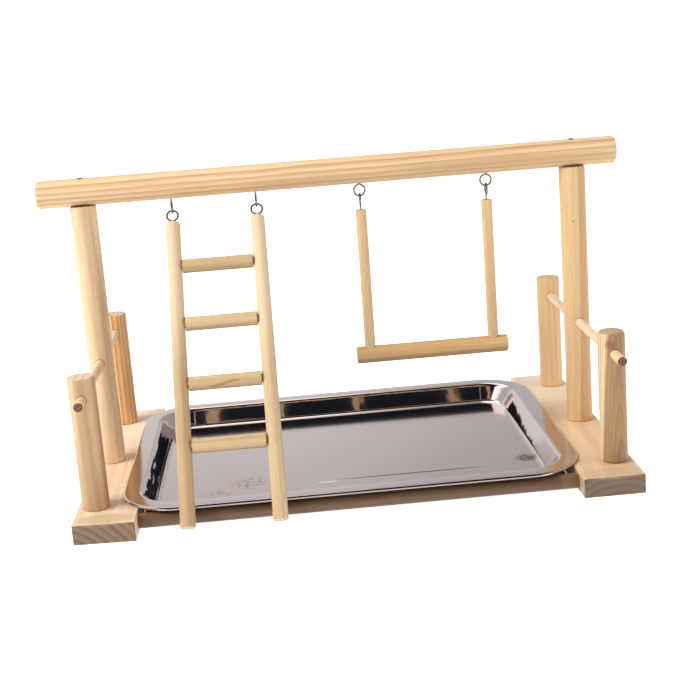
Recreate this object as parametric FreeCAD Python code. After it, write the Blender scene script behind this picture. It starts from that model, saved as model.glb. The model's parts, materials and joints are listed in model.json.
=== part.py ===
import FreeCAD, Part
import math
import os

# Parrot play stand. A round top perch lies on two tall posts. Each tall post stands on a
# base board between two short posts, and a thin side perch runs through all three. Two
# round cross rails join the boards, and a pressed steel tray hangs between them by its
# rim. A ladder and a swing hang from the top perch in pairs of linked screw eyes.
#
# Millimetres. +X runs along the top perch, +Y points to the back, +Z points up.
# The pieces are drawn with the tall posts in the plane Y = 0 and the table at Z = 0, and
# are then slid along Y, so that the origin is the middle of the whole footprint.

Vector = FreeCAD.Vector
X_AXIS = Vector(1, 0, 0)
Y_AXIS = Vector(0, 1, 0)
Z_AXIS = Vector(0, 0, 1)

os.makedirs("parts", exist_ok=True)

# ---- Top perch ----
perch_length = 530.0
perch_diameter = 25.0
perch_axis_height = 274.4
perch_end_round = 2.5
perch_overhang = 40.0
seat_diameter = 21.0
seat_depth = 1.2

# ---- Posts ----
main_post_diameter = 24.0
short_post_diameter = 23.5
short_post_height = 116.6
short_post_offset = 121.0
post_edge_round = 1.4

# ---- Base boards ----
board_width = 53.0
board_length = 320.0
board_thickness = 17.5
board_inset = 10.4
left_end_skew = 2.5
board_edge_round = 1.0

# ---- Cross rails between the boards ----
cross_rail_diameter = 13.0
cross_rail_offset = 139.0
cross_rail_tenon_diameter = 8.0
cross_rail_tenon_length = 14.0

# ---- Side perches ----
side_perch_diameter = 8.4
side_perch_length = 290.0
side_perch_height = 115.3
side_perch_reach_left = 5.0
side_perch_reach_right = 10.0
side_perch_end_round = 0.6

# ---- Tray ----
tray_lap = 11.9
tray_width = 300.0
tray_corner_radius = 50.0
tray_sheet = 0.8
tray_depth = 17.0
tray_flange = 13.5
tray_bead_diameter = 3.0
tray_wall_slope = 55.0
tray_upper_bend = 4.0
tray_lower_bend = 6.0
tray_shift_x = -3.6
tray_shift_y = 2.2

# ---- Screw eyes ----
eye_wire = 1.8
eye_ring_diameter = 10.2
eye_open_angle = 16.0
eye_screw_length = 12.0

# ---- Ladder ----
ladder_x = -106.3
ladder_spacing = 77.0
ladder_rail_diameter = 13.0
ladder_rail_length = 280.0
ladder_rail_end_round = 1.0
rung_count = 4
rung_diameter = 12.5
first_rung_drop = 43.4
rung_pitch = 55.7
rung_tenon_diameter = 7.0
rung_tenon_length = 6.0
rung_shoulder_gap = 0.4
ladder_hook_neck = 2.2
ladder_eye_neck = 1.9

# ---- Swing ----
swing_x = 86.0
swing_spacing = 117.0
swing_rod_diameter = 10.0
swing_rod_length = 136.0
swing_rod_end_round = 0.6
swing_perch_length = 143.5
swing_perch_diameter = 16.0
swing_perch_end_round = 1.0
swing_socket_depth = 6.0
swing_hook_neck = 0.3
swing_eye_neck = 4.0

# ---- Screws ----
screw_diameter = 4.0
screw_head_diameter = 8.0
screw_head_height = 2.4
screw_recess = 0.4
post_screw_grip = 24.0
perch_screw_diameter = 3.6
perch_screw_head_diameter = 7.0
perch_screw_head_height = 2.0
perch_screw_head_sink = 1.6
perch_screw_grip = 26.0
screw_tip_length = 5.0
cross_slot_width = 0.9
cross_slot_depth = 1.1
cross_slot_share = 0.58

# ---- Clearances ----
wood_fit = 0.05
head_fit = 0.15
hole_end_gap = 0.5
running_gap = 0.25
resting_gap = 0.3

# ---- Heights and places worked out from the sizes above ----
perch_bottom = perch_axis_height - perch_diameter / 2
perch_top = perch_axis_height + perch_diameter / 2
post_offset = perch_length / 2 - perch_overhang
board_x = post_offset - board_inset
board_inner_x = board_x - board_width / 2
cross_rail_height = board_thickness / 2
side_perch_hole = side_perch_diameter + 2 * wood_fit

tray_length = 2 * (board_inner_x + tray_lap)
tray_bead_height = board_thickness + resting_gap + tray_bead_diameter / 2
tray_rim_top = tray_bead_height + tray_bead_diameter / 2
tray_floor_top = tray_rim_top - tray_depth
tray_bead_y = -tray_width / 2 + tray_bead_diameter / 2 + tray_shift_y

eye_radius = eye_ring_diameter / 2
eye_reach = eye_radius + eye_wire / 2
link_offset = eye_wire + running_gap

# The ladder's pivot is the top wire of its own eyes, which rests in the hooks' rings.
ladder_hook_center = perch_bottom - ladder_hook_neck - eye_reach
ladder_pivot = ladder_hook_center - eye_radius + link_offset
ladder_eye_center = ladder_pivot - eye_radius
ladder_rail_top = ladder_eye_center - eye_reach - ladder_eye_neck

# The swing's pivot is the bottom wire of the hooks' rings.
swing_hook_center = perch_bottom - swing_hook_neck - eye_reach
swing_pivot = swing_hook_center - eye_radius
swing_eye_center = swing_pivot + link_offset - eye_radius
swing_rod_top = swing_eye_center - eye_reach - swing_eye_neck
swing_perch_height = swing_rod_top - swing_rod_length + swing_socket_depth - swing_perch_diameter / 2

# The ladder leans forwards until its rails lie against the bead of the tray's front rim.
lean_gap = ladder_rail_diameter / 2 + resting_gap + tray_bead_diameter / 2
pivot_to_bead = math.hypot(tray_bead_y, ladder_pivot - tray_bead_height)
bead_angle = math.atan2(-tray_bead_y, ladder_pivot - tray_bead_height)
ladder_lean = math.degrees(bead_angle + math.asin(lean_gap / pivot_to_bead))


# ---- Shapes that several pieces share ----
def circles(shape):
    """The round rims of a turned piece."""
    return [edge for edge in shape.Edges if isinstance(edge.Curve, Part.Circle)]


def dowel(start, direction, length, diameter, end_round):
    """A round bar with both rims eased."""
    bar = Part.makeCylinder(diameter / 2, length, start, direction)
    return bar.makeFillet(end_round, circles(bar))


def hole(start, direction, length, diameter):
    """The space that a drill takes out."""
    return Part.makeCylinder(diameter / 2, length, start, direction)


def revolved(outline):
    """A solid of revolution about Z from (radius, height) corners."""
    corners = [Vector(radius, 0, height) for radius, height in outline]
    face = Part.Face(Part.makePolygon(corners + corners[:1]))
    return face.revolve(Vector(), Z_AXIS, 360)


def cross_slot(head_diameter):
    """The cross in a screw's head, cut down from Z = 0."""
    arm = head_diameter * cross_slot_share
    bars = []
    for length, width in ((arm, cross_slot_width), (cross_slot_width, arm)):
        corner = Vector(-length / 2, -width / 2, -cross_slot_depth)
        bars.append(Part.makeBox(length, width, 2 * cross_slot_depth, corner))
    return bars[0].fuse(bars[1])


def countersunk_screw(length):
    """A flat-headed wood screw that points down from Z = 0."""
    radius = screw_diameter / 2
    body = revolved([(0, 0), (screw_head_diameter / 2, 0), (radius, -screw_head_height),
                     (radius, -(length - screw_tip_length)), (0, -length)])
    return body.cut(cross_slot(screw_head_diameter))


def pan_screw(length):
    """A wood screw with a domed head. The head sits on Z = 0 and the shank points down."""
    head = Part.makeCylinder(perch_screw_head_diameter / 2, perch_screw_head_height)
    top_rim = [edge for edge in circles(head) if edge.Curve.Center.z > perch_screw_head_height / 2]
    head = head.makeFillet(perch_screw_head_height * 0.7, top_rim)
    slot = cross_slot(perch_screw_head_diameter)
    slot.translate(Vector(0, 0, perch_screw_head_height))
    radius = perch_screw_diameter / 2
    shank = revolved([(0, 0), (radius, 0), (radius, -(length - screw_tip_length)), (0, -length)])
    return head.fuse(shank).cut(slot).removeSplitter()


def screw_eye(neck):
    """A bent wire ring in the XZ plane about the origin, with its screw pointing up."""
    wire_circle = Part.Circle(Vector(0, 0, eye_radius), X_AXIS, eye_wire / 2)
    section = Part.Face(Part.Wire(wire_circle.toShape()))
    ring = section.revolve(Vector(), Y_AXIS, 360 - eye_open_angle)
    elbow = Part.makeSphere(eye_wire / 2, Vector(0, 0, eye_radius))
    length = eye_wire / 2 + neck + eye_screw_length
    shank = Part.makeCylinder(eye_wire / 2, length, Vector(0, 0, eye_radius))
    return ring.fuse([elbow, shank]).removeSplitter()


def pair(spacing, middle):
    """The two places along X of a pair set evenly about its middle."""
    return (middle - spacing / 2, middle + spacing / 2)


ladder_sides = pair(ladder_spacing, ladder_x)
swing_sides = pair(swing_spacing, swing_x)
post_places = {"front": -short_post_offset, "main": 0.0, "rear": short_post_offset}


# ---- Stand ----
def top_perch():
    start = Vector(-perch_length / 2, 0, perch_axis_height)
    bar = dowel(start, X_AXIS, perch_length, perch_diameter, perch_end_round)
    for x in (-post_offset, post_offset):
        bar = bar.cut(hole(Vector(x, 0, 0), Z_AXIS, perch_bottom + seat_depth, seat_diameter))
        bar = bar.cut(hole(Vector(x, 0, 0), Z_AXIS, perch_top, perch_screw_diameter + 2 * wood_fit))
        head_seat = Vector(x, 0, perch_top - perch_screw_head_sink)
        bar = bar.cut(hole(head_seat, Z_AXIS, perch_diameter, perch_screw_head_diameter + 2 * head_fit))
    for x in ladder_sides + swing_sides:
        pilot = perch_bottom + eye_screw_length + hole_end_gap
        bar = bar.cut(hole(Vector(x, 0, 0), Z_AXIS, pilot, eye_wire + 2 * wood_fit))
    return bar


def post(x, y, diameter, height):
    """An upright with its side perch's hole and the blind hole of its base screw."""
    shape = dowel(Vector(x, y, board_thickness), Z_AXIS, height, diameter, post_edge_round)
    through = Vector(x, y - diameter, side_perch_height)
    shape = shape.cut(hole(through, Y_AXIS, 2 * diameter, side_perch_hole))
    depth = board_thickness + post_screw_grip + hole_end_gap
    return shape.cut(hole(Vector(x, y, 0), Z_AXIS, depth, screw_diameter + 2 * wood_fit))


def main_post(x):
    shape = post(x, 0, main_post_diameter, perch_bottom - board_thickness)
    depth = perch_screw_grip + hole_end_gap
    start = Vector(x, 0, perch_bottom - depth)
    return shape.cut(hole(start, Z_AXIS, 2 * depth, perch_screw_diameter + 2 * wood_fit))


def base_board(side, skew):
    """A plank with three countersunk screw holes and two sockets for the cross rails. Its
    front end is sawn out of square, so that the inner corner stands forwards by the skew."""
    inner_x = side * board_inner_x
    outer_x = side * (board_inner_x + board_width)
    half_length = board_length / 2
    corners = [Vector(inner_x, -half_length - skew, 0), Vector(outer_x, -half_length, 0),
               Vector(outer_x, half_length, 0), Vector(inner_x, half_length, 0)]
    plank = Part.Face(Part.makePolygon(corners + corners[:1])).extrude(Z_AXIS * board_thickness)
    plank = plank.makeFillet(board_edge_round, plank.Edges)
    wide = screw_head_diameter / 2 + head_fit
    narrow = screw_diameter / 2 + head_fit
    bore = revolved([(0, 0), (wide, 0), (wide, screw_recess), (narrow, screw_recess + screw_head_height),
                     (narrow, board_thickness), (0, board_thickness)])
    for y in post_places.values():
        plank = plank.cut(bore.translated(Vector(side * post_offset, y, 0)))
    for y in (-cross_rail_offset, cross_rail_offset):
        mouth = Vector(inner_x, y, cross_rail_height)
        depth = cross_rail_tenon_length + hole_end_gap
        socket = hole(mouth, X_AXIS * side, depth, cross_rail_tenon_diameter + 2 * wood_fit)
        plank = plank.cut(socket)
    return plank


def cross_rail(y):
    """A round rail that butts against both boards, with a tenon at each end."""
    start = Vector(-board_inner_x, y, cross_rail_height)
    rail = Part.makeCylinder(cross_rail_diameter / 2, 2 * board_inner_x, start, X_AXIS)
    tip = Vector(-board_inner_x - cross_rail_tenon_length, y, cross_rail_height)
    length = 2 * (board_inner_x + cross_rail_tenon_length)
    tenons = Part.makeCylinder(cross_rail_tenon_diameter / 2, length, tip, X_AXIS)
    return rail.fuse(tenons)


def side_perch(side, reach):
    """A thin perch through a short, a tall and a short post, pushed forwards by its reach."""
    start = Vector(side * post_offset, -side_perch_length / 2 - reach, side_perch_height)
    return dowel(start, Y_AXIS, side_perch_length, side_perch_diameter, side_perch_end_round)


def base_screws(side):
    """The three screws that come up through one board into its posts."""
    length = board_thickness - screw_recess + post_screw_grip
    screws = []
    for y in post_places.values():
        screw = countersunk_screw(length)
        screw.rotate(Vector(), X_AXIS, 180)
        screw.translate(Vector(side * post_offset, y, screw_recess))
        screws.append(screw)
    return Part.makeCompound(screws)


def perch_screws():
    """The two screws that go down through the top perch into the tall posts."""
    length = perch_diameter - perch_screw_head_sink + perch_screw_grip
    screws = []
    for x in (-post_offset, post_offset):
        screws.append(pan_screw(length).translated(Vector(x, 0, perch_top - perch_screw_head_sink)))
    return Part.makeCompound(screws)


def ladder_hooks():
    """The perch's two eyes for the ladder, turned edge-on to the front."""
    hooks = []
    for x in ladder_sides:
        hook = screw_eye(ladder_hook_neck)
        hook.rotate(Vector(), Z_AXIS, 90)
        hook.translate(Vector(x, 0, ladder_hook_center))
        hooks.append(hook)
    return Part.makeCompound(hooks)


def swing_hooks():
    """The perch's two eyes for the swing, which face the front."""
    place = [Vector(x, 0, swing_hook_center) for x in swing_sides]
    return Part.makeCompound([screw_eye(swing_hook_neck).translated(spot) for spot in place])


# ---- Tray ----
def sheet_section():
    """The rim, flange and wall of the tray in the XZ plane. X = 0 is the outermost edge
    and X runs inwards as a negative number, down to the start of the flat floor."""
    slope = math.radians(tray_wall_slope)
    bends = tray_upper_bend + tray_lower_bend
    straight_drop = tray_depth - bends * (1 - math.cos(slope))
    foot = tray_flange + bends * math.sin(slope) + straight_drop / math.tan(slope)
    upper_center = Vector(-tray_flange, 0, tray_rim_top - tray_upper_bend)
    lower_center = Vector(-foot, 0, tray_floor_top + tray_lower_bend)

    def bend(center, radius, angle):
        return center + Vector(-radius * math.sin(angle), 0, radius * math.cos(angle))

    def skin(upper_radius, lower_radius):
        """The corners of one side of the sheet, with the middle of each bend."""
        return [bend(upper_center, upper_radius, 0), bend(upper_center, upper_radius, slope / 2),
                bend(upper_center, upper_radius, slope), bend(lower_center, -lower_radius, slope),
                bend(lower_center, -lower_radius, slope / 2), bend(lower_center, -lower_radius, 0)]

    top = skin(tray_upper_bend, tray_lower_bend)
    under = skin(tray_upper_bend - tray_sheet, tray_lower_bend + tray_sheet)
    edge_x = -tray_bead_diameter / 2
    edge_top = Vector(edge_x, 0, tray_rim_top)
    edge_under = Vector(edge_x, 0, tray_rim_top - tray_sheet)
    outline = [Part.makeLine(edge_top, top[0]), Part.Arc(*top[0:3]).toShape(), Part.makeLine(top[2], top[3]),
               Part.Arc(*top[3:6]).toShape(), Part.makeLine(top[5], under[5]),
               Part.Arc(under[5], under[4], under[3]).toShape(), Part.makeLine(under[3], under[2]),
               Part.Arc(under[2], under[1], under[0]).toShape(), Part.makeLine(under[0], edge_under),
               Part.makeLine(edge_under, edge_top)]
    return Part.Face(Part.Wire(outline)), foot


def around_tray(section, outermost):
    """Carries a section round the tray's rounded rectangle: four straights, four corners."""
    pieces = []
    for quarter in range(4):
        across, along = (tray_length, tray_width) if quarter % 2 == 0 else (tray_width, tray_length)
        run = along - 2 * tray_corner_radius
        side = section.translated(Vector(across / 2 - outermost, -run / 2, 0)).extrude(Vector(0, run, 0))
        corner = section.translated(Vector(tray_corner_radius - outermost, 0, 0))
        corner = corner.revolve(Vector(), Z_AXIS, 90)
        corner.translate(Vector(across / 2 - tray_corner_radius, run / 2, 0))
        for piece in (side, corner):
            piece.rotate(Vector(), Z_AXIS, 90 * quarter)
            pieces.append(piece)
    return pieces


def tray():
    """A pressed tray: rolled edge, flat flange, sloping wall and flat floor."""
    section, foot = sheet_section()
    bead_center = Vector(-tray_bead_diameter / 2, 0, tray_bead_height)
    bead_circle = Part.Circle(bead_center, Y_AXIS, tray_bead_diameter / 2)
    bead = Part.Face(Part.Wire(bead_circle.toShape()))
    floor_length = tray_length - 2 * foot
    floor_width = tray_width - 2 * foot
    corner = Vector(-floor_length / 2, -floor_width / 2, tray_floor_top - tray_sheet)
    plate = Part.makeBox(floor_length, floor_width, tray_sheet, corner)
    upright = [edge for edge in plate.Edges if abs(edge.tangentAt(edge.FirstParameter).z) > 0.5]
    plate = plate.makeFillet(tray_corner_radius - foot, upright)
    walls = around_tray(section, 0)
    rim = around_tray(bead, 0)
    shell = plate.fuse(walls + rim).removeSplitter()
    return shell.translated(Vector(tray_shift_x, tray_shift_y, 0))


# ---- Ladder, drawn hanging straight down and then leaned forwards about its pivot ----
def leaned(shape):
    shape.rotate(Vector(0, 0, ladder_pivot), X_AXIS, -ladder_lean)
    return shape


def rung_height(number):
    return ladder_rail_top - first_rung_drop - rung_pitch * number


def ladder_rail(x, inward):
    """A side rail with a blind socket for each rung and a pilot hole for its eye."""
    start = Vector(x, 0, ladder_rail_top - ladder_rail_length)
    rail = dowel(start, Z_AXIS, ladder_rail_length, ladder_rail_diameter, ladder_rail_end_round)
    socket_depth = rung_tenon_length + hole_end_gap
    for number in range(rung_count):
        mouth = Vector(x + inward * ladder_rail_diameter / 2, 0, rung_height(number))
        socket = hole(mouth, X_AXIS * -inward, socket_depth, rung_tenon_diameter + 2 * wood_fit)
        rail = rail.cut(socket)
    depth = eye_screw_length + hole_end_gap
    pilot = hole(Vector(x, 0, ladder_rail_top - depth), Z_AXIS, 2 * depth, eye_wire + 2 * wood_fit)
    return leaned(rail.cut(pilot))


def ladder_rung(number):
    """A rung with a thinner tenon turned at each end."""
    half = ladder_spacing / 2 - ladder_rail_diameter / 2 - rung_shoulder_gap
    height = rung_height(number)
    barrel = Part.makeCylinder(rung_diameter / 2, 2 * half, Vector(ladder_x - half, 0, height), X_AXIS)
    reach = half + rung_shoulder_gap + rung_tenon_length
    tenons = Part.makeCylinder(rung_tenon_diameter / 2, 2 * reach, Vector(ladder_x - reach, 0, height), X_AXIS)
    return leaned(barrel.fuse(tenons))


def ladder_eyes():
    eyes = []
    for x in ladder_sides:
        eye = screw_eye(ladder_eye_neck)
        eye.rotate(Vector(), Y_AXIS, 180)
        eye.translate(Vector(x, 0, ladder_eye_center))
        eyes.append(leaned(eye))
    return Part.makeCompound(eyes)


# ---- Swing ----
def swing_rod(x):
    start = Vector(x, 0, swing_rod_top - swing_rod_length)
    rod = dowel(start, Z_AXIS, swing_rod_length, swing_rod_diameter, swing_rod_end_round)
    depth = eye_screw_length + hole_end_gap
    return rod.cut(hole(Vector(x, 0, swing_rod_top - depth), Z_AXIS, 2 * depth, eye_wire + 2 * wood_fit))


def swing_perch():
    """The swing's seat, with a socket from above for each rod."""
    start = Vector(swing_x - swing_perch_length / 2, 0, swing_perch_height)
    bar = dowel(start, X_AXIS, swing_perch_length, swing_perch_diameter, swing_perch_end_round)
    for x in swing_sides:
        floor = Vector(x, 0, swing_rod_top - swing_rod_length)
        bar = bar.cut(hole(floor, Z_AXIS, swing_perch_diameter, swing_rod_diameter + 2 * wood_fit))
    return bar


def swing_eyes():
    eyes = []
    for x in swing_sides:
        eye = screw_eye(swing_eye_neck)
        eye.rotate(Vector(), Y_AXIS, 180)
        eye.rotate(Vector(), Z_AXIS, 90)
        eye.translate(Vector(x, 0, swing_eye_center))
        eyes.append(eye)
    return Part.makeCompound(eyes)


# ---- Every piece under its name ----
pieces = {
    "top_perch": top_perch(),
    "main_post_left": main_post(-post_offset),
    "main_post_right": main_post(post_offset),
    "base_board_left": base_board(-1, left_end_skew),
    "base_board_right": base_board(1, 0),
    "front_cross_rail": cross_rail(-cross_rail_offset),
    "rear_cross_rail": cross_rail(cross_rail_offset),
    "side_perch_left": side_perch(-1, side_perch_reach_left),
    "side_perch_right": side_perch(1, side_perch_reach_right),
    "base_screws_left": base_screws(-1),
    "base_screws_right": base_screws(1),
    "top_perch_screws": perch_screws(),
    "ladder_hooks": ladder_hooks(),
    "swing_hooks": swing_hooks(),
    "tray": tray(),
    "ladder_rail_left": ladder_rail(ladder_sides[0], 1),
    "ladder_rail_right": ladder_rail(ladder_sides[1], -1),
    "ladder_eyes": ladder_eyes(),
    "swing_rod_left": swing_rod(swing_sides[0]),
    "swing_rod_right": swing_rod(swing_sides[1]),
    "swing_perch": swing_perch(),
    "swing_eyes": swing_eyes(),
}
for row in ("front", "rear"):
    for name, side in (("left", -1), ("right", 1)):
        spot = (side * post_offset, post_places[row])
        pieces[f"short_post_{row}_{name}"] = post(*spot, short_post_diameter, short_post_height)
for number in range(rung_count):
    pieces[f"ladder_rung_{number + 1}"] = ladder_rung(number)

# ---- The origin is the middle of the footprint: everything slides along Y to reach it ----
boxes = [shape.optimalBoundingBox(False) for shape in pieces.values()]
nearest = min(box.YMin for box in boxes)
farthest = max(box.YMax for box in boxes)
origin_shift = -(nearest + farthest) / 2
for name, shape in pieces.items():
    shape.translate(Vector(0, origin_shift, 0))
    shape.exportStep(f"parts/{name}.step")

print(f"pieces {len(pieces)}, shift along Y {origin_shift:.3f}, ladder lean {ladder_lean:.3f} degrees")
print(f"ladder pivot height {ladder_pivot:.3f}, swing pivot height {swing_pivot:.3f}")
print(f"swing perch axis height {swing_perch_height:.3f}, tray floor {tray_floor_top:.3f}")
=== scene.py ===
# %% [markdown]
# # A parrot's play stand, dressed for the camera
# The stand is pine dowel, two pine planks, a pressed steel tray and a few bent wire eyes. The
# frame that is loaded here already has every piece in its true size and place. Nearly every
# visible piece is then made again as a smooth surface in the same place, because the frame's own
# meshes are cut into flat triangles. Each finish is worked out from the place of each point.

# %% Load the frame
import json
import math

import bpy
import numpy as np
from mathutils import Matrix, Vector


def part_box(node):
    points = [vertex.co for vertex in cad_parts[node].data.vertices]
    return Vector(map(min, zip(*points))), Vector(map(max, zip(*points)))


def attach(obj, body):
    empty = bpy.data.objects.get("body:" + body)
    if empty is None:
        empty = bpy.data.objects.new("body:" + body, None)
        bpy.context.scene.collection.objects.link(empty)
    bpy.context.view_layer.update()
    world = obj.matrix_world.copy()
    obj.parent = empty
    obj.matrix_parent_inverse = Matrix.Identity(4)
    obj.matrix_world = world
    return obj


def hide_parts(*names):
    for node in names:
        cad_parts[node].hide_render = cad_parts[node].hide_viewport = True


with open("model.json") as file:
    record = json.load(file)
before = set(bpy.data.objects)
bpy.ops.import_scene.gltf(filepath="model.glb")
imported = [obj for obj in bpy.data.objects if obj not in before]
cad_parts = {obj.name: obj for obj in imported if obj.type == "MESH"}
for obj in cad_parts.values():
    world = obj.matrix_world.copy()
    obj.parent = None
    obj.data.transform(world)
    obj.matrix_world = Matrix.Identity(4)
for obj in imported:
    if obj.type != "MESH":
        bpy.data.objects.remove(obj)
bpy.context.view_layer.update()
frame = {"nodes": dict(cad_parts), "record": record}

joints = {joint["name"]: joint for joint in frame["record"]["behaviour"]["joints"]}

# %% [markdown]
# ## The camera
# The picture was taken from a little above the perch, slightly left of the middle, with the
# camera rolled by about four degrees. A camera could be aimed with a Track To constraint, but a
# roll and an off-centre lens are easier to state as three directions: right, up and backwards.

# %% Camera
# The picture, the focal length and the lens centre in pixels, the sensor in millimetres,
# the place in metres and the three turns in degrees.
picture_side = 680
focal_pixels = 1243.0
sensor_width = 36.0
lens_centre = (337.3, 305.3)
camera_place = (-0.048, -1.1314, 0.3993)
yaw, pitch, roll = (math.radians(angle) for angle in (2.38, 12.40, 4.37))

forward = Vector((math.sin(yaw) * math.cos(pitch), math.cos(yaw) * math.cos(pitch), -math.sin(pitch)))
level_right = Vector((math.cos(yaw), -math.sin(yaw), 0.0))
level_down = forward.cross(level_right)
right = math.cos(roll) * level_right + math.sin(roll) * level_down
up = math.sin(roll) * level_right - math.cos(roll) * level_down

lens = bpy.data.cameras.new("camera")
lens.sensor_width = sensor_width
lens.lens = sensor_width * focal_pixels / picture_side
lens.shift_x = (picture_side / 2 - lens_centre[0]) / picture_side
lens.shift_y = (lens_centre[1] - picture_side / 2) / picture_side
camera = bpy.data.objects.new("camera", lens)
turned_to_world = Matrix((right, up, -forward)).transposed().to_4x4()
camera.matrix_world = Matrix.Translation(camera_place) @ turned_to_world
bpy.context.scene.collection.objects.link(camera)
bpy.context.scene.camera = camera
print("lens", round(lens.lens, 2), "mm, shift", round(lens.shift_x, 4), round(lens.shift_y, 4))

# %% [markdown]
# ## Shader maths as expressions
# A finish is a graph of nodes, and a graph for wood has dozens of small sums in it. Wiring them
# one by one hides the idea. Here a Flow stands for the output of a node, and the usual signs of
# arithmetic add the Math nodes, so that a line of code reads as the formula it stands for.

# %% Flow and Finish
class Flow:
    """What comes out of a node. Flow + 2, 1 - Flow and so on add Math nodes."""

    def __init__(self, finish, socket):
        self.finish = finish
        self.socket = socket

    def math(self, operation, *others):
        """One Math node, with this value first and the others after it."""
        values = dict(enumerate((self, *others)))
        return self.finish.node("ShaderNodeMath", {"operation": operation}, values)

    def __add__(self, other):
        return self.math("ADD", other)

    def __sub__(self, other):
        return self.math("SUBTRACT", other)

    def __rsub__(self, other):
        return self.math("MULTIPLY", -1.0).math("ADD", other)

    def __mul__(self, other):
        return self.math("MULTIPLY", other)

    def __truediv__(self, other):
        return self.math("DIVIDE", other)

    __radd__ = __add__
    __rmul__ = __mul__


class Finish:
    """The node graph of one material, or of the world, while it is being written."""

    def __init__(self, owner):
        owner.use_nodes = True
        self.owner = owner
        self.tree = owner.node_tree
        self.tree.nodes.clear()

    def node(self, kind, settings=None, inputs=None, output=0):
        """Adds a node: its settings first, then a number, a colour or a Flow for each socket."""
        added = self.tree.nodes.new(kind)
        for name, value in (settings or {}).items():
            if name == "stops":
                steps = added.color_ramp.elements
                while len(steps) < len(value):
                    steps.new(0.5)
                for step, (place, grey) in zip(steps, value):
                    step.position = place
                    step.color = (grey, grey, grey, 1.0)
            else:
                setattr(added, name, value)
        for name, value in (inputs or {}).items():
            if isinstance(value, Flow):
                self.tree.links.new(value.socket, added.inputs[name])
            else:
                added.inputs[name].default_value = value
        return Flow(self, added.outputs[output]) if added.outputs else None

    def ramp(self, value, stops):
        """A grey level read from (place, level) stops."""
        return self.node("ShaderNodeValToRGB", {"stops": stops}, {0: value})

    def step(self, value, low, high):
        """0 below low, 1 above high, and a smooth curve between."""
        return self.node("ShaderNodeMapRange", {"interpolation_type": "SMOOTHSTEP"},
                         {0: value, 1: low, 2: high, 3: 0.0, 4: 1.0})

    def mix(self, share, first, second):
        """first where share is 0, second where it is 1."""
        inputs = {0: share, 6: first, 7: second}
        return self.node("ShaderNodeMix", {"data_type": "RGBA"}, inputs, output=2)

    def tint(self, colour, brightness):
        """A colour made lighter or darker by a number that changes over the surface."""
        return self.node("ShaderNodeVectorMath", {"operation": "SCALE"}, {0: colour, 3: brightness})

    def stretch(self, place, factors, start=0.0):
        """A place multiplied along each axis, then moved by a start that tells pieces apart."""
        return self.node("ShaderNodeVectorMath", {"operation": "MULTIPLY_ADD"},
                         {0: place, 1: factors, 2: (start, start * 0.7, start * 1.3)})

    def noise(self, place, detail=2.0, roughness=0.5):
        """Numbers about 0.5 that change smoothly from place to place."""
        return self.node("ShaderNodeTexNoise", None, {
            "Vector": place, "Scale": 1.0, "Detail": detail, "Roughness": roughness})

    def part(self, place, axis):
        """One coordinate of a place: axis 0, 1 or 2."""
        return self.node("ShaderNodeSeparateXYZ", None, {0: place}, output=axis)

    def reach(self, place, centre, sizes=(1.0, 1.0, 1.0)):
        """The distance from a centre, measured in sizes along each axis."""
        scaled = self.node("ShaderNodeVectorMath", {"operation": "DIVIDE"}, {0: place, 1: sizes})
        inputs = {0: scaled, 1: [c / s for c, s in zip(centre, sizes)]}
        return self.node("ShaderNodeVectorMath", {"operation": "DISTANCE"}, inputs, output=1)

    def surface(self, inputs):
        """The shader, with a number or a Flow for each socket by name, and the output."""
        shader = self.node("ShaderNodeBsdfPrincipled", None, inputs)
        self.node("ShaderNodeOutputMaterial", None, {"Surface": shader})
        return self.owner


def finish_called(name):
    """A new material, whose graph is still empty."""
    return Finish(bpy.data.materials.new(name))


print("shader maths ready, with + - * and /")

# %% [markdown]
# ## Floor, backdrop and light
# The stand is shown on plain white. The floor is a matt sheet that glows a little, and more so for
# the camera and for mirrors, so that it reads as white without too much light on the wood. The
# world does the same, and mirrors see more in it: the wall of paper fades upwards and to the
# right, its front is darker, and high on the left it is as bright as a strip light.
# A dark canopy over the front of the room is seen only in the steel: a polished tray shows the
# room behind the camera in its back wall, which is what makes that wall nearly black. Under the
# tray the paper doesn't glow, so the shadow there shows through the gaps beside the tray.

# %% Floor, world and canopy
def glow_share(finish):
    """1 for rays from the camera, from a mirror or through glass, 0 for the light on surfaces."""
    kinds = ("Is Camera Ray", "Is Glossy Ray", "Is Transmission Ray")
    straight_on, by_mirror, through = (finish.node("ShaderNodeLightPath", output=kind) for kind in kinds)
    return straight_on.math("MAXIMUM", by_mirror).math("MAXIMUM", through)


def flat_sheet(name, half_sides, middle, material):
    """A level rectangular sheet, which belongs to the studio."""
    square = np.array([(-1, -1, 0), (1, -1, 0), (1, 1, 0), (-1, 1, 0)], float)
    corners = square * (*half_sides, 0.0) + middle
    mesh = bpy.data.meshes.new(name)
    mesh.from_pydata(corners.tolist(), [], [(0, 1, 2, 3)])
    mesh.materials.append(material)
    sheet = bpy.data.objects.new(name, mesh)
    bpy.context.scene.collection.objects.link(sheet)
    return sheet


paper = finish_called("white_paper")
spot = paper.node("ShaderNodeTexCoord", output="Object")
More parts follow.
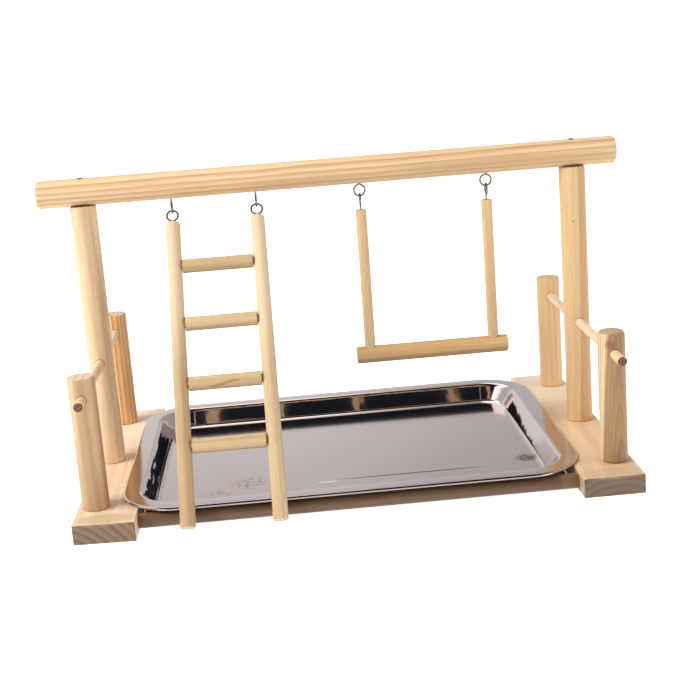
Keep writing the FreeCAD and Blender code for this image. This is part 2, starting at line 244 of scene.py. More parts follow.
# The shade under the tray fades out between these distances from the middle, in metres.
shade_x, shade_y = (0.186, 0.192), (0.118, 0.130)
beside = paper.step(paper.part(spot, 0).math("ABSOLUTE"), *shade_x)
before = paper.step(paper.part(spot, 1).math("ABSOLUTE"), *shade_y)
open_paper = beside.math("MAXIMUM", before)
glow_for_all, glow_for_lookers = 0.35, 0.61
paper_light = glow_share(paper) * open_paper * glow_for_lookers + open_paper * glow_for_all
paper_glow = paper.node("ShaderNodeEmission", None, {"Color": (1, 1, 1, 1), "Strength": paper_light})
paper_matt = paper.node("ShaderNodeBsdfDiffuse", None, {"Color": (0.75, 0.75, 0.75, 1)})
paper_both = paper.node("ShaderNodeAddShader", None, {0: paper_glow, 1: paper_matt})
paper.node("ShaderNodeOutputMaterial", None, {"Surface": paper_both})
floor_height = -0.0002
flat_sheet("floor", (4.0, 4.0), (0.0, 0.0, floor_height), paper.owner)

dark = finish_called("dark_canopy")
dark.surface({"Base Color": (0, 0, 0, 1), "Roughness": 1.0, "Specular IOR Level": 0.0,
              "Emission Color": (0.013, 0.017, 0.027, 1), "Emission Strength": 1.0})
canopy = flat_sheet("canopy", (1.5, 3.5), (0.0, -2.9, 1.9), dark.owner)
canopy.visible_camera = canopy.visible_diffuse = canopy.visible_shadow = False

sky = Finish(bpy.data.worlds.new("studio"))
direction = sky.node("ShaderNodeTexCoord", output="Generated")
rightward, backward, upward = (sky.part(direction, axis) for axis in range(3))
strip_light = sky.step(upward, 0.55, 0.70) * (1 - sky.step(rightward, 0.0, 0.12))
faded_upwards = 1 - sky.step(upward, 0.27, 0.37) * 0.25
darker_front = sky.step(backward, -0.55, -0.25) * 0.65 + 0.35
faded_right = 1 - sky.step(rightward, -0.03, 0.20) * 0.26
paper_wall = (faded_upwards + strip_light * 1.5) * darker_front * faded_right
seen = sky.node("ShaderNodeLightPath", output="Is Camera Ray")
mirrored = (glow_share(sky) - seen) * paper_wall
light_on_surfaces = 0.42
sky_colour = sky.node("ShaderNodeBackground", None, {
    "Color": (1, 1, 1, 1), "Strength": seen + mirrored + (1 - glow_share(sky)) * light_on_surfaces})
sky.node("ShaderNodeOutputWorld", None, {"Surface": sky_colour})
bpy.context.scene.world = sky.owner

lamp_target = Vector((0, 0, 0.1))


def soft_lamp(name, place, size, power):
    """A square soft box at a place, aimed at the middle of the stand. Size in metres, power in watts."""
    lamp = bpy.data.lights.new(name, "AREA")
    lamp.shape, lamp.size, lamp.energy = "SQUARE", size, power
    holder = bpy.data.objects.new(name, lamp)
    aim = (lamp_target - Vector(place)).to_track_quat("-Z", "Y")
    holder.matrix_world = Matrix.Translation(place) @ aim.to_matrix().to_4x4()
    holder.visible_glossy = False
    bpy.context.scene.collection.objects.link(holder)


soft_lamp("key", (-1.85, -0.70, 1.90), size=1.6, power=68.0)
soft_lamp("fill", (1.5, -0.5, 0.6), size=0.9, power=7.0)
print("studio ready: floor, canopy, world and", len(bpy.data.lights), "lamps")

# %% [markdown]
# ## A surface from a grid of points
# Nearly every piece here is a closed skin over a grid: rows along the piece, columns round it. The
# columns join up, and each end is closed with a fan of triangles round one middle point. numpy
# works out all the points and all the faces at once. A solid whose faces point outwards has a
# positive volume, so the sign of the volume says whether the order of the corners has to turn.

# %% Grid to mesh
def closed_skin(name, rows):
    """A closed mesh over rows[i, j]: i runs along, j runs round, and each end gets a fan."""
    along, around = rows.shape[:2]
    points = np.concatenate([rows.reshape(-1, 3), rows[[0, -1]].mean(axis=1)])
    i, j = np.meshgrid(np.arange(along - 1), np.arange(around), indexing="ij")
    k = (j + 1) % around
    here, there = i * around, (i + 1) * around
    quads = np.stack([here + j, here + k, there + k, there + j], axis=-1).reshape(-1, 4)
    ring = np.arange(around)
    after = (ring + 1) % around
    first, last = along * around, along * around + 1
    fans = np.concatenate([np.stack([after, ring, np.full(around, first)], axis=1),
                           np.stack([ring + (along - 1) * around, after + (along - 1) * around,
                                     np.full(around, last)], axis=1)])
    triangles = np.concatenate([quads[:, [0, 1, 2]], quads[:, [0, 2, 3]], fans])
    a, b, c = (points[triangles[:, n]] for n in range(3))
    if np.einsum("ij,ij->i", a, np.cross(b, c)).sum() < 0:
        quads, fans = quads[:, ::-1], fans[:, ::-1]
    mesh = bpy.data.meshes.new(name)
    mesh.from_pydata(points.tolist(), [], quads.tolist() + fans.tolist())
    mesh.polygons.foreach_set("use_smooth", np.ones(len(mesh.polygons), bool))
    return mesh


def dress(name, mesh, material, body, slot, *nodes):
    """Puts a mesh in the scene as one piece that rides a body and stands for CAD nodes."""
    piece = bpy.data.objects.new(name, mesh)
    bpy.context.scene.collection.objects.link(piece)
    mesh.materials.append(material)
    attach(piece, body)
    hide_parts(*nodes)


# %% [markdown]
# ## Turned wood
# Dowels come off a machine as true cylinders, and sandpaper eases their rims. A Bevel modifier on
# a cylinder would give that too. A profile of (distance, radius) pairs that is spun round an axis
# does the same in one formula, and it also makes the thin tenon at each end of a rung.

# %% Profiles and turning
rim_steps = 6


def eased(length, radius, ease):
    """The profile of a round bar whose rims are quarter circles of radius ease. Two rings on each
    flat end, half way out and almost at the rim, keep the end's shading flat."""
    bend = np.linspace(0, math.pi / 2, rim_steps)
    along = ease * (1 - np.cos(bend))
    out = radius - ease * (1 - np.sin(bend))
    inner = np.array([[0.0, (radius - ease) * 0.5], [0.0, (radius - ease) * 0.97]])
    start = np.concatenate([inner, np.stack([along, out], axis=1)])
    return np.concatenate([start, [[length - s, r] for s, r in start[::-1].tolist()]])


def turned(name, start, direction, profile, around=56):
    """Spins a profile: point(s, a) = start + s * direction + r(s) * (cos a * side + sin a * other)."""
    direction = np.array(direction, float)
    side = np.cross(direction, (0.0, 1.0, 0.0) if abs(direction[1]) < 0.9 else (1.0, 0.0, 0.0))
    side /= np.linalg.norm(side)
    other = np.cross(direction, side)
    angle = np.linspace(0, 2 * math.pi, around, endpoint=False)
    circle = np.cos(angle)[:, None] * side + np.sin(angle)[:, None] * other
    rows = np.array(start) + profile[:, :1, None] * direction + profile[:, 1:, None] * circle[None]
    return closed_skin(name, rows)


def middle_of(node):
    """The middle of a node's box."""
    low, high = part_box(node)
    return (low + high) / 2


def span(node, axis):
    """How far a node reaches along axis 0, 1 or 2."""
    low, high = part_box(node)
    return high[axis] - low[axis]


def bar_along(node, axis, ease, around=56, trim=0.0):
    """A round bar in a node's place, along axis 0, 1 or 2, as thick as the node. The bar is as
    long as the node, less the trim at each end where the node has a tenon."""
    direction = Vector([float(n == axis) for n in range(3)])
    length = span(node, axis) - 2 * trim
    radius = max(span(node, n) for n in range(3) if n != axis) / 2
    start = middle_of(node) - direction * (length / 2)
    return turned(node + "_wood", start, direction, eased(length, radius, ease), around)


# %% [markdown]
# ## Pine
# A plank or a dowel is cut out of a trunk, and its pattern is the trunk's rings where the saw went
# through them. So the finish keeps the trunk: every point has a distance from the trunk's heart,
# and that distance, divided by the width of a year, says how far into a year's growth it lies.
# Spring wood is pale, and late wood is a thin darker line that ends sharply. One rule then gives
# stripes along a dowel, arches where the cut grazes a ring, and curved lines on the cut ends. The
# wood nearest to the heart can be darker, with a sharp border that follows a ring. An image of
# real wood could be wrapped round each piece, but its ends wouldn't agree with its sides.

# %% Pine finish
pine_warm = (0.80, 0.50, 0.26)
pine_late = (0.58, 0.30, 0.13)
pine_cut = (0.74, 0.52, 0.31)
pine_cut_late = (0.45, 0.26, 0.13)
# The colour of painted shade in the joints, where one piece goes into another.
joint_shade = (0.13, 0.065, 0.035)
per_metre = 1000.0
# How dark the wood is through one year, as (part of the year, darkness).
year_stops = [(0.0, 0.0), (0.30, 0.10), (0.58, 0.55), (0.80, 1.0), (0.92, 0.85), (1.0, 0.0)]
# Millimetres: how far the rings drift off their circles, and half the width of the core's border.
drift_reach, core_border = 5.0, 0.7
# Metres: how ragged the edge of a painted shade ring is, and where its shade fades past the rim.
ragged_reach, rim_fade = 0.0022, (0.0001, 0.0008)


def pine(name, middle, grain, heart, year, lines, seed, pale, warm=pine_warm, late=pine_late,
         cut=pine_cut, cut_late=pine_cut_late, slant=(0.0, 0.0), wander=1.0, core=None,
         shade_rings=(), spots=()):
    """Pine whose grain runs along one direction through a middle point, in metres. Across the
    grain, in millimetres, distance = length of (place - heart + slant * along + drift), and
    years = distance / year, whose fraction gives the season and its darkness. heart is the place
    of the trunk's heart, year a ring's width, lines how strong the late wood shows, wander how
    much the rings drift, and core the (radius, colour) of the darker wood. pale and warm are two
    tones of the same wood. shade_rings are rings of painted shade in joints as (centre, radius),
    and spots, some of them painted light or shade, are small places of another colour as
    (centre, sizes, colour), both in metres."""
    wood = finish_called(name)
    grain = Vector(grain).normalized()
    across = Vector((0, 1, 0)).cross(grain)
    across = (across if across.length > 0.3 else Vector((1, 0, 0))).normalized()
    turn = Matrix((grain, across, grain.cross(across)))
    place = wood.node("ShaderNodeTexCoord", output="Object")
    local = wood.node("ShaderNodeMapping", None, {
        "Vector": place, "Scale": (per_metre, per_metre, per_metre), "Rotation": turn.to_euler("XYZ"),
        "Location": -per_metre * (turn @ Vector(middle))})
    along, y, z = (wood.part(local, axis) for axis in range(3))

    # The rings drift slowly off their circles, and each year's line has its own strength.
    drift = [wood.noise(wood.stretch(local, (0.010, 0.035, 0.035), seed + start)) for start in (0.0, 31.7)]
    from_heart = [value - centre + along * lean + (shift - 0.5) * (drift_reach * wander)
                  for value, centre, lean, shift in zip((y, z), heart, slant, drift)]
    distance = (from_heart[0] * from_heart[0] + from_heart[1] * from_heart[1]).math("SQRT")
    years = distance / year
    season = wood.ramp(years.math("FRACT"), year_stops)
    vigour = wood.node("ShaderNodeTexWhiteNoise", {"noise_dimensions": "1D"},
                       {"W": years.math("FLOOR") + seed}, output=0)
    season = season * (vigour * 0.6 + 0.5)

    # Fine fibres, broad patches of warmer wood, pores, and 1 where the wood is cut across.
    fibre = wood.noise(wood.stretch(local, (0.020, 0.55, 0.55), seed + 7.0), detail=4.0, roughness=0.65)
    broad = wood.noise(wood.stretch(local, (0.006, 0.06, 0.06), seed + 13.0))
    pores = wood.noise(wood.stretch(local, (0.12, 2.0, 2.0), seed + 3.0), detail=1.0)
    facing = wood.node("ShaderNodeVectorMath", {"operation": "DOT_PRODUCT"}, {
        0: wood.node("ShaderNodeTexCoord", output="Normal"), 1: grain}, output=1)
    cut_across = wood.step(facing.math("ABSOLUTE"), 0.55, 0.92)

    side = wood.mix(wood.step(broad, 0.38, 0.66), (*pale, 1), (*warm, 1))
    if core:
        inside = 1 - wood.step(distance, core[0] - core_border, core[0] + core_border)
        side = wood.mix(inside, side, (*core[1], 1))
    side = wood.mix(season * lines, side, (*late, 1))
    butt = wood.mix(season * 0.9, (*cut, 1), (*cut_late, 1))
    colour = wood.mix(cut_across, side, butt)
    colour = wood.tint(colour, (fibre - 0.5) * 0.42 + (pores - 0.5) * 0.24 + 1.0)
    # Rings of painted shade in the joints, with ragged edges.
    for centre, radius in shade_rings:
        ragged = wood.reach(place, centre) - (fibre - 0.5) * ragged_reach
        rim = 1 - wood.step(ragged, *(radius + fade for fade in rim_fade))
        colour = wood.mix(rim * 0.85, colour, (*joint_shade, 1))
    # Spots: knots and streaks of the wood, and also painted light and shade.
    for centre, sizes, tone in spots:
        edge = wood.reach(place, centre, sizes) + (fibre - 0.5) * 0.6
        colour = wood.mix((1 - wood.step(edge, 0.5, 1.1)) * 0.8, colour, (*tone, 1))
    relief = wood.node("ShaderNodeBump", None, {
        "Strength": 0.12, "Distance": 0.0003, "Height": fibre * 0.6 + pores * 0.3 - season * 0.3})
    return wood.surface({
        "Specular IOR Level": 0.5, "Sheen Weight": 0.4, "Sheen Roughness": 0.25,
        "Base Color": colour, "Roughness": (fibre - 0.5) * 0.2 + 0.5, "Normal": relief})


print("pine ready, with", len(year_stops), "stops in a year")

# %% [markdown]
# ## The top perch
# A thick dowel lies across both tall posts. Its front shows long stripes and its top hardly any,
# which is what a dowel looks like when the rings lie level: from the side they are seen edge on,
# and on top the surface runs along one ring. So the heart lies far below the dowel.

# %% Top perch
perch_front = middle_of("top_perch") - Vector((0.0, span("top_perch", 1) / 2, 0.0))
brown_streaks = [
    (perch_front + Vector((0.165, 0.0, -0.0020)), (0.130, 0.010, 0.0050), (0.64, 0.41, 0.205)),
    (perch_front + Vector((-0.020, 0.0, -0.0035)), (0.090, 0.010, 0.0030), (0.72, 0.46, 0.235))]
perch_wood = pine(
    "pine_perch", middle_of("top_perch"), (1, 0, 0), heart=(66.2, 6.0), year=4.8, lines=0.85,
    slant=(0.004, 0.0), wander=0.45, seed=9.0, pale=(0.89, 0.64, 0.37), warm=(0.85, 0.58, 0.32),
    late=(0.49, 0.23, 0.095), cut=(0.86, 0.66, 0.42), spots=brown_streaks)
perch_rim, perch_sides = 0.0025, 80
perch_bar = bar_along("top_perch", 0, perch_rim, perch_sides)
dress("perch", perch_bar, perch_wood, "stand", "dowel_wood", "top_perch")
print("perch made,", len(perch_bar.vertices), "points")

# %% [markdown]
# ## The posts
# Each board carries a tall post between two short ones, and a thin perch runs through all three.
# Where that perch comes out, the finish paints a ragged dark ring of shade in the joint, and it
# paints the shade of the top perch onto the seat of a tall post in the same way. Every post is cut
# from another part of another trunk, which is why each has its own heart. Two of them show a knot.
# A knot could be a second trunk inside the first, but at this size a dark spot looks the same.

# %% Posts
small_knot = ((0.2223, -0.0047, 0.212), (0.0014, 0.004, 0.0020), (0.34, 0.17, 0.08))
large_knot = ((0.2205, -0.131, 0.1240), (0.0078, 0.008, 0.0062), (0.27, 0.13, 0.06))
post_woods = {
    "main_post_left": dict(
        heart=(20.0, 42.0), year=6.0, lines=0.26, seed=11.0,
        pale=(0.86, 0.64, 0.40), warm=(0.76, 0.50, 0.29)),
    "main_post_right": dict(
        heart=(44.0, -2.0), year=5.0, lines=0.16, slant=(-0.0217, 0.0), seed=23.0, wander=0.25,
        pale=(0.79, 0.54, 0.28), warm=(0.76, 0.51, 0.26), core=(44.0, (0.65, 0.385, 0.18)),
        spots=[small_knot]),
    "short_post_front_left": dict(
        heart=(36.0, -6.0), year=7.0, lines=0.40, seed=35.0, wander=0.4,
        pale=(0.70, 0.50, 0.29), warm=(0.56, 0.37, 0.20), late=(0.44, 0.22, 0.11),
        cut=(0.80, 0.60, 0.42), core=(25.6, (0.54, 0.28, 0.15))),
    "short_post_front_right": dict(
        heart=(7.0, -24.0), year=2.7, lines=0.75, slant=(0.0, 0.09), seed=47.0, wander=0.6,
        pale=(0.90, 0.65, 0.40), warm=(0.86, 0.60, 0.35), late=(0.28, 0.17, 0.085),
        cut=(0.52, 0.35, 0.20), core=(22.8, (0.43, 0.265, 0.12)), spots=[large_knot]),
    "short_post_rear_left": dict(
        heart=(24.0, 4.0), year=4.4, lines=0.95, seed=59.0, wander=0.4,
        pale=(0.88, 0.56, 0.27), warm=(0.86, 0.50, 0.22), late=(0.55, 0.21, 0.06)),
    "short_post_rear_right": dict(
        heart=(30.0, 10.0), year=4.4, lines=0.36, seed=71.0, wander=0.5,
        pale=(0.86, 0.59, 0.31), warm=(0.80, 0.50, 0.24)),
}
worn_rim, plain_rim = 0.0036, 0.0014
hole = span("side_perch_left", 0) / 2
# The radius of the painted shade on the seat of a tall post, under the top perch, as a share of the post's
# thickness.
seat_share = 0.40

for node, wood in post_woods.items():
    centre = middle_of(node)
    perch = middle_of("side_perch_" + node.split("_")[-1])
    outward = Vector((0.0, span(node, 1) / 2, 0.0))
    mouth = Vector((centre.x, centre.y, perch.z))
    # Rings of painted shade where the thin perch goes through, and on a tall post's top under the top
    # perch.
    shade_rings = [(mouth - outward, hole), (mouth + outward, hole)]
    if node.startswith("main"):
        top = Vector((centre.x, centre.y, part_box(node)[1].z))
        shade_rings.append((top, span(node, 0) * seat_share))
    finish = pine("pine_" + node, centre, (0, 0, 1), shade_rings=shade_rings, **wood)
    ease = worn_rim if node == "short_post_front_right" else plain_rim
    dress(node.replace("post", "upright"), bar_along(node, 2, ease), finish, "stand", "dowel_wood", node)
print("posts made:", len(post_woods))

# %% [markdown]
# ## The thin side perches
# A thin dowel runs through the three posts of each board, so only its ends and the lengths between
# the posts show. Its sawn ends are dark brown, which is why this finish has its own dark colours
# for the wood that is cut across. It is turned like the other bars, with fewer points round it.

# %% Side perches
thin_rim, thin_sides = 0.0006, 40
for side, heart, seed in (("left", (3.0, 5.0), 4.0), ("right", (6.0, 1.0), 5.0)):
    node = f"side_perch_{side}"
    finish = pine(
        "pine_" + node, middle_of(node), (0, 1, 0), heart=heart, year=2.6, lines=0.16, seed=seed,
        pale=(0.88, 0.66, 0.40), cut=(0.26, 0.10, 0.06), cut_late=(0.07, 0.02, 0.015))
    mesh = bar_along(node, 1, thin_rim, thin_sides)
    dress(node.replace("side", "thin"), mesh, finish, "stand", "dowel_wood", node)
print("side perches made,", round(span("side_perch_left", 1), 4), "m long")

# %% [markdown]
# ## Boards and cross rails
# The boards are planed planks. The frame's own boards already have their true edges and holes, so
# they stay, and only take a finish. Their ends are cut across the grain and look darker, the top
# carries painted shade at the front and painted light at the back, and the right board's inner side
# carries painted shade in front.
# The cross rails are dowels deep in the shadow of the tray, so their wood is written much darker,
# and a little less so at the right end, where some light reaches them.

# %% Boards
# In metres: about the middle of a board, and a height just above its top.
board_x, above_board = 0.215, 0.0180
# Painted shade on the front of the right board's inner side.
shaded_side = ((0.188, -0.15, 0.004), (0.0012, 0.030, 0.016), (0.34, 0.22, 0.125))
planks = {
    "base_board_left": (-board_x, [], dict(
        heart=(-45.0, 50.0), seed=79.0, pale=(0.93, 0.69, 0.48), warm=(0.86, 0.60, 0.40),
        late=(0.66, 0.38, 0.21), cut=(0.27, 0.175, 0.105))),
    "base_board_right": (board_x, [shaded_side], dict(
        heart=(5.0, 50.0), seed=81.0, pale=(0.80, 0.56, 0.34), warm=(0.72, 0.48, 0.29),
        late=(0.56, 0.31, 0.16), cut=(0.205, 0.132, 0.080))),
}


def paint(node, material):
    """Gives a finish to one of the frame's own meshes, whose shape is already true."""
    frame["nodes"][node].data.materials.clear()
    frame["nodes"][node].data.materials.append(material)


for node, (x, shade, wood) in planks.items():
    # Painted shade on the front of each board's top and painted light on its back.
    shaded_front = ((x, -0.1455, above_board), (0.034, 0.0135, 0.0050), (0.62, 0.44, 0.28))
    lit_rear = ((x, 0.120, above_board), (0.050, 0.075, 0.0050), (0.98, 0.80, 0.62))
    finish = pine(
        "pine_" + node, middle_of(node), (0, 1, 0), year=6.5, lines=0.36, wander=0.5,
        cut_late=(0.13, 0.08, 0.045), spots=[*shade, shaded_front, lit_rear], **wood)
    paint(node, finish)
print("boards painted:", len(planks))

# %% Cross rails
rail_tenon, rail_rim = 0.014, 0.0002
for node, seed in (("front_cross_rail", 91.0), ("rear_cross_rail", 97.0)):
    centre = middle_of(node)
    lit_end = (centre + Vector((0.180, 0.0, 0.002)), (0.010, 0.02, 0.02), (0.21, 0.115, 0.05))
    finish = pine(
        "pine_" + node, centre, (1, 0, 0), heart=(20.0, 14.0), year=3.4, lines=0.4, seed=seed,
        pale=(0.175, 0.095, 0.046), warm=(0.145, 0.077, 0.036), late=(0.11, 0.055, 0.027),
        spots=[lit_end])
    mesh = bar_along(node, 0, rail_rim, trim=rail_tenon)
    dress(node.replace("cross_rail", "rail"), mesh, finish, "stand", "dowel_wood", node)
print("cross rails made,", round(span(node, 0) - 2 * rail_tenon, 4), "m between the boards")

# %% [markdown]
# ## The ladder
# The ladder's rails lean, so their grain runs along the lean. The tray slides along the same
# line, and the record of that slide gives the direction. The left rail is darker than the right
# one, and both carry painted light at the top. A rung has a thin tenon at each end, so its profile
# steps down there, and a brown line of painted shade shows the gap where its shoulder meets the rail.

# %% Ladder rails
lean = Vector(joints["tray_lift"]["axis"]).normalized()
rail_length, stile_rim = 0.280, 0.001
rail_radius = span("ladder_rail_left", 0) / 2
# Painted light on the top of each rail, as (sizes, colour).
lit_top = ((0.02, 0.15, 0.15), (0.82, 0.64, 0.42))
for side, seed, pale, warm in (("left", 3.0, (0.60, 0.41, 0.225), (0.52, 0.34, 0.18)),
                               ("right", 8.0, (0.76, 0.57, 0.35), (0.68, 0.49, 0.28))):
    node = f"ladder_rail_{side}"
    start = middle_of(node) - lean * (rail_length / 2)
    mesh = turned(node + "_wood", start, lean, eased(rail_length, rail_radius, stile_rim))
    finish = pine(
        "pine_" + node, middle_of(node), lean, heart=(24.0, 18.0), year=4.8, lines=0.34, seed=seed,
        wander=0.6, pale=pale, warm=warm, late=(0.38, 0.22, 0.11),
        spots=[(start + lean * rail_length, *lit_top)])
    dress(node.replace("rail", "stile"), mesh, finish, "ladder", "dowel_wood", node)
print("ladder rails made, leaning", round(math.degrees(math.acos(lean.z)), 1), "degrees")

# %% Ladder rungs
tenon_length, tenon_radius, rung_rim = 0.0064, 0.0035, 0.0003
# Painted shade in the gap at each shoulder, as (which end, width, colour).
shoulder_shade_lines = ((-1, 0.0008, (0.58, 0.34, 0.15)), (1, 0.0010, (0.46, 0.25, 0.10)))
for number in range(1, 5):
    node = f"ladder_rung_{number}"
    length = span(node, 0)
    centre = middle_of(node)
    start = centre - Vector((length / 2, 0.0, 0.0))
    radius = span(node, 2) / 2
    barrel = eased(length - 2 * tenon_length, radius, rung_rim) + (tenon_length, 0.0)
    ends = np.array([[0.0, 0.0], [0.0, tenon_radius], [tenon_length, tenon_radius]])
    profile = np.concatenate([ends, barrel, (length, 0.0) + ends[::-1] * (-1, 1)])
    shoulder = Vector((length / 2 - tenon_length, 0.0, 0.0))
    spots = [(centre + shoulder * sign, (width, 0.02, 0.02), tone)
             for sign, width, tone in shoulder_shade_lines]
    if number == 3:
        # A slanting brown streak, laid out as a row of four spots.
        spots += [(centre + Vector((x, 0.0, 0.22 * x)), (0.0060, 0.02, 0.0014), (0.40, 0.22, 0.10))
                  for x in (-0.010, -0.004, 0.002, 0.008)]
    # Heart and seed change with the number, so that no two rungs look alike.
    finish = pine(
        "pine_" + node, centre, (1, 0, 0), heart=(26.0 - 7 * number, 22.0), year=3.8, lines=0.40,
        seed=100.0 + 9 * number, pale=(0.68, 0.50, 0.28), warm=(0.60, 0.41, 0.22),
        late=(0.42, 0.25, 0.12), cut=(0.52, 0.30, 0.13), cut_late=(0.40, 0.21, 0.09), spots=spots)
    mesh = turned(node + "_wood", start, (1, 0, 0), profile)
    dress(node.replace("ladder_", ""), mesh, finish, "ladder", "dowel_wood", node)
print("ladder rungs made,", round(length - 2 * tenon_length, 4), "m between the rails")

# %% [markdown]
# ## The swing
# Two thin dowels hang from wire eyes and carry a thicker one to sit on. Each sits in a hole in the
# top of the seat. The holes could be cut into the mesh, but the rods fill them, so it is enough
# that the seat's finish paints a ring of shade round both, where they go into the seat.

# %% Swing
rod_rim, seat_rim, hole_inset = 0.0006, 0.001, 0.0002
rod_radius = span("swing_rod_left", 0) / 2
# Rings of painted shade on the seat, round the rods' feet.
seat_shade_rings = []
for side, seed in (("left", 15.0), ("right", 19.0)):
    node = f"swing_rod_{side}"
    foot = middle_of(node)
    foot.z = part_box("swing_perch")[1].z
    seat_shade_rings.append((foot, rod_radius - hole_inset))
    finish = pine(
        "pine_" + node, middle_of(node), (0, 0, 1), heart=(-18.0, 13.0), year=4.2, lines=0.34,
        seed=seed, pale=(0.78, 0.58, 0.34), warm=(0.74, 0.50, 0.28))
    dress(node.replace("rod", "side"), bar_along(node, 2, rod_rim), finish, "swing", "dowel_wood", node)
seat_wood = pine(
    "pine_swing_perch", middle_of("swing_perch"), (1, 0, 0), heart=(34.0, -12.0), year=4.0, lines=0.40,
    seed=27.0, pale=(0.73, 0.49, 0.23), warm=(0.64, 0.40, 0.18), shade_rings=seat_shade_rings)
seat_bar = bar_along("swing_perch", 0, seat_rim)
dress("swing_seat", seat_bar, seat_wood, "swing", "dowel_wood", "swing_perch")
print("swing made, seat", round(span("swing_perch", 0), 4), "m long")

# %% [markdown]
# ## The tray
# The tray is one pressed sheet: a rolled edge, a flat flange, a sloping wall and a flat floor. A
# mirror finish shows every flaw in a mesh, so the section is drawn with true arcs and is carried
# round a rounded rectangle, which keeps the reflections smooth at the corners. A point of the
# section is (distance inwards from the edge, height), and its place in the plan is the corner's
# centre + (corner radius - distance) * (cos a, sin a).

# %% Tray
# In metres: the sheet's thickness, the radii of both bends on the upper side of the sheet, the
# flange's width, the rolled edge's radius, and the tray's depth and corners.
sheet, upper_bend, lower_bend, flange, bead = 0.0008, 0.004, 0.006, 0.0135, 0.0015
depth, corner_radius = 0.017, 0.050
# A short straight piece at each bend keeps its shading clean. The floor's own rows end further in.
straight, floor_edge = 0.0004, 0.012
# In degrees: the wall's slope, and where the rolled edge meets the underside of the flange.
tilt, bead_stop = 55.0, 387.8
corner_steps = 22


def arc(centre, radius, start, stop, steps=12):
    """Points on an arc: centre + radius * (cos a, sin a), for a from start to stop degrees."""
    angle = np.radians(np.linspace(start, stop, steps))
    return np.array(centre) + radius * np.stack([np.cos(angle), np.sin(angle)], axis=1)


tray_low, tray_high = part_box("tray")
rim_top = tray_high.z
floor_top = rim_top - depth
slope = math.radians(tilt)
drop = depth - (upper_bend + lower_bend) * (1 - math.cos(slope))
foot = flange + (upper_bend + lower_bend) * math.sin(slope) + drop / math.tan(slope)
upper_centre = (flange, rim_top - upper_bend)
lower_centre = (foot, floor_top + lower_bend)
section = np.concatenate([
    [(foot + floor_edge, floor_top), (foot + straight, floor_top)],
    arc(lower_centre, lower_bend, -90.0, -90.0 - tilt),
    arc(upper_centre, upper_bend, 90.0 - tilt, 90.0),
    [(bead + straight, rim_top)],
    arc((bead, rim_top - bead), bead, 90.0, bead_stop, 24),
    [(flange - straight, rim_top - sheet)],
    arc(upper_centre, upper_bend - sheet, 90.0, 90.0 - tilt),
    arc(lower_centre, lower_bend + sheet, -90.0 - tilt, -90.0),
    [(foot + straight, floor_top - sheet), (foot + floor_edge, floor_top - sheet)]])

half = Vector((span("tray", 0) / 2 - corner_radius, span("tray", 1) / 2 - corner_radius))
quarter = np.linspace(0, math.pi / 2, corner_steps)
angles = np.concatenate([quarter + n * math.pi / 2 for n in range(4)])
signs = np.repeat(np.array([(1, 1), (-1, 1), (-1, -1), (1, -1)], float), len(quarter), axis=0)
hubs = np.array(middle_of("tray"))[:2] + signs * np.array(half)
spokes = np.stack([np.cos(angles), np.sin(angles)], axis=1)
plan = hubs[None] + (corner_radius - section[:, :1, None]) * spokes[None]
heights = np.broadcast_to(section[:, 1:, None], plan.shape[:2] + (1,))
tray_mesh = closed_skin("tray_sheet", np.concatenate([plan, heights], axis=2))
print("tray made: floor at", round(floor_top, 5), "m, rim at", round(rim_top, 5), "m")

# %% [markdown]
# ## Polished steel
# A mirror takes its colour from what it reflects, so the finish has little to say: a faint warm
# grey, fine wear, a few stains left by a bird, one dark line of painted reflection, one white
# painted highlight, and a slow waviness where the press stretched the walls. The floor of the tray
# stayed flat, so the waviness fades out towards it. The left wall is streaked, the right wall is
# rubbed duller towards the front, and the front edge carries painted shade, darker than the rest.

# %% Steel finish
steel = finish_called("polished_steel")
place = steel.node("ShaderNodeTexCoord", output="Object")
rightwards, backwards, height = (steel.part(place, axis) for axis in range(3))
grit = steel.noise(steel.stretch(place, (900.0, 900.0, 900.0)))
smear = steel.noise(steel.stretch(place, (240.0, 240.0, 240.0)), detail=3.0)
colour = steel.tint((0.56, 0.485, 0.465), (grit - 0.5) * 0.12 + 1.0)

# A stain is (place, radius, colour, strength, rarity): the rarer, the smaller its flecks.
stains = [
    ((-0.096, -0.054), 0.020, (0.34, 0.17, 0.09), 0.60, 0.50),
    ((0.160, -0.0535), 0.013, (0.20, 0.08, 0.03), 0.95, 0.41),
    ((0.174, -0.0335), 0.004, (0.20, 0.17, 0.16), 0.5, 0.41),
    ((-0.122, -0.0745), 0.016, (0.40, 0.22, 0.13), 0.45, 0.50)]
for centre, size, tone, strength, rarity in stains:
    from_stain = steel.reach(place, (*centre, floor_top))
    flecks = steel.step(smear, rarity - 0.03, rarity + 0.05)
    mask = (1 - steel.step(from_stain, size * 0.4, size)) * flecks
    colour = steel.mix(mask * strength, colour, (*tone, 1))

# A dark line of painted reflection and a white painted highlight, as (place, sizes, colour).
mark_height, mark_strength = 0.002, 0.9
marks = [((0.053, -0.0663), (0.070, 0.0016), (0.06, 0.06, 0.06)),
         ((-0.0244, -0.0696), (0.010, 0.0012), (1, 1, 1))]
for centre, sizes, tone in marks:
    from_mark = steel.reach(place, (*centre, floor_top), (*sizes, mark_height))
    colour = steel.mix((1 - steel.step(from_mark, 0.7, 1.1)) * mark_strength, colour, (*tone, 1))
# Painted shade on the rolled edge, darker up to these distances from the tray's front, in metres.
front_edge_shade = 1 - steel.step(backwards, tray_low.y + 0.0007, tray_low.y + 0.0014)
colour = steel.mix(front_edge_shade * 0.55, colour, (0.16, 0.14, 0.135, 1))
print("steel coloured, with", len(stains), "stains")

